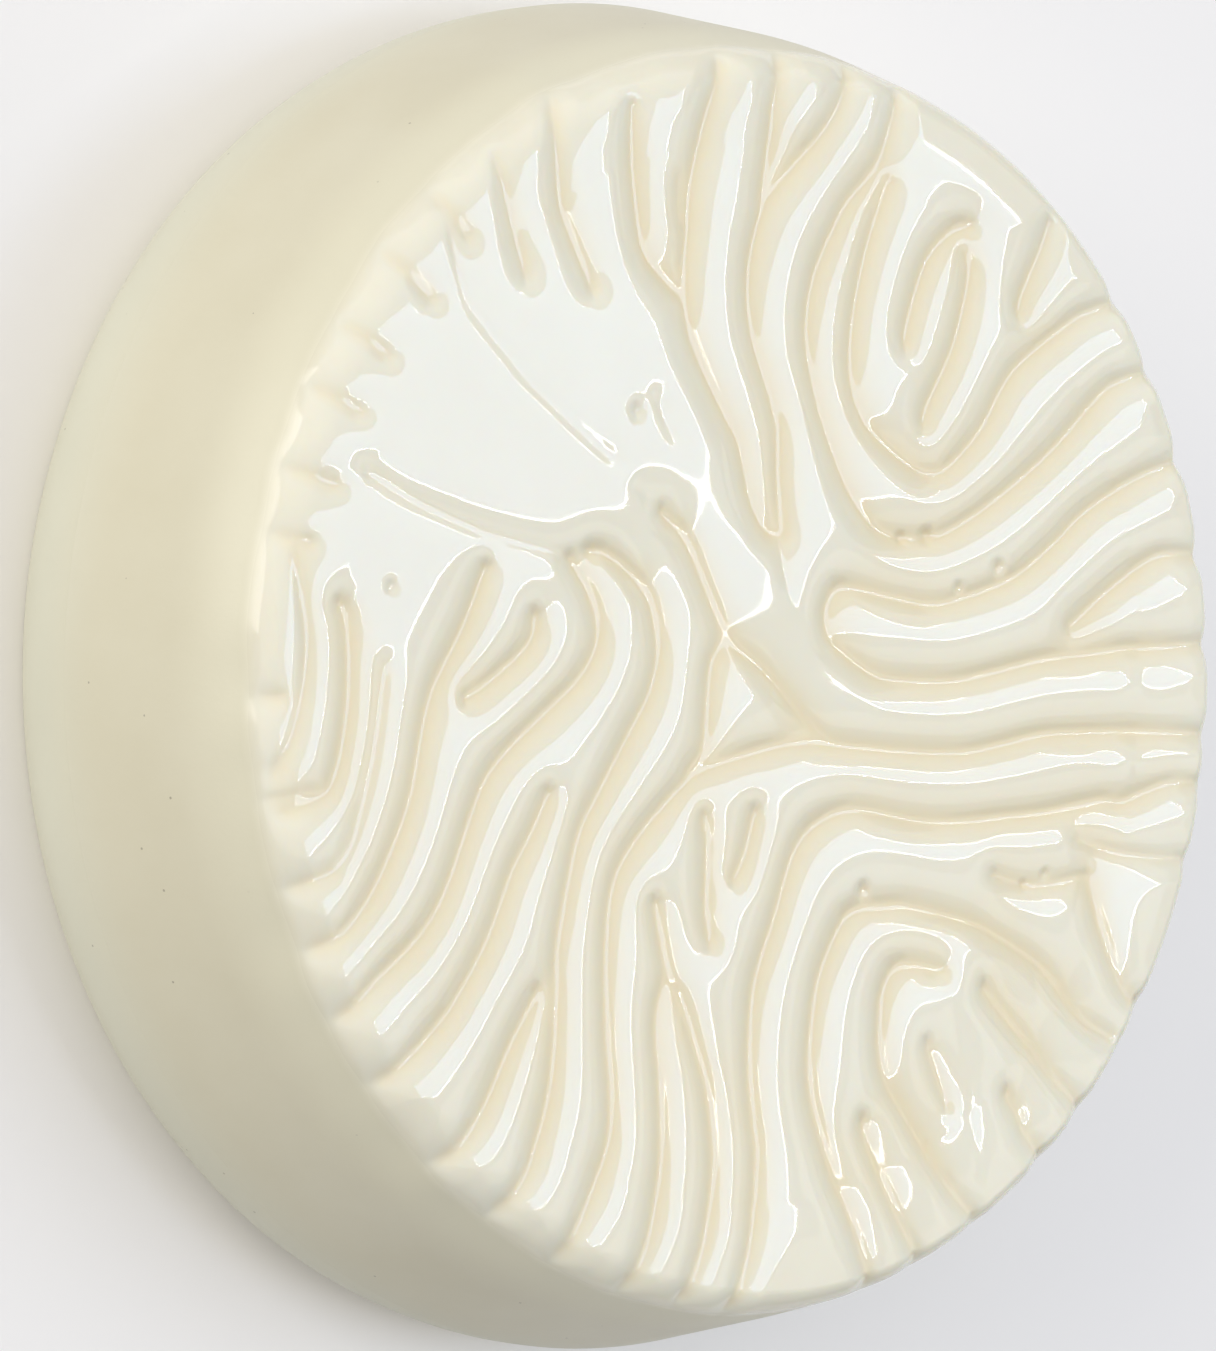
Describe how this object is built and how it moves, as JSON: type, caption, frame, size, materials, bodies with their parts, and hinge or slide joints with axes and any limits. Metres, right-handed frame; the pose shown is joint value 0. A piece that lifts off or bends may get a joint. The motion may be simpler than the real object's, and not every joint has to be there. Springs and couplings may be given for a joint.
{
  "type": "shaving soap puck",
  "caption": "Round shaving soap puck with a rounded back edge, a tapered satin wall and a glossy face of winding embossed ridges.",
  "frame": {"origin": "centre of the flat resting face, on the puck's axis", "axes": "+Z along the puck's axis, from the resting face out through the embossed face; +X and +Y lie in the resting face and only fix how the ridge pattern is turned"},
  "size_m": [0.07, 0.07, 0.018],
  "materials": {
    "base_soap": "satin, faintly green ivory soap",
    "body_soap": "satin cream soap with fine dark specks",
    "cap_soap": "high-gloss pearly cream soap"
  },
  "bodies": {
    "root": {"base_layer": "base_soap", "soap_body": "body_soap", "relief_cap": "cap_soap"}
  },
  "joints": []
}
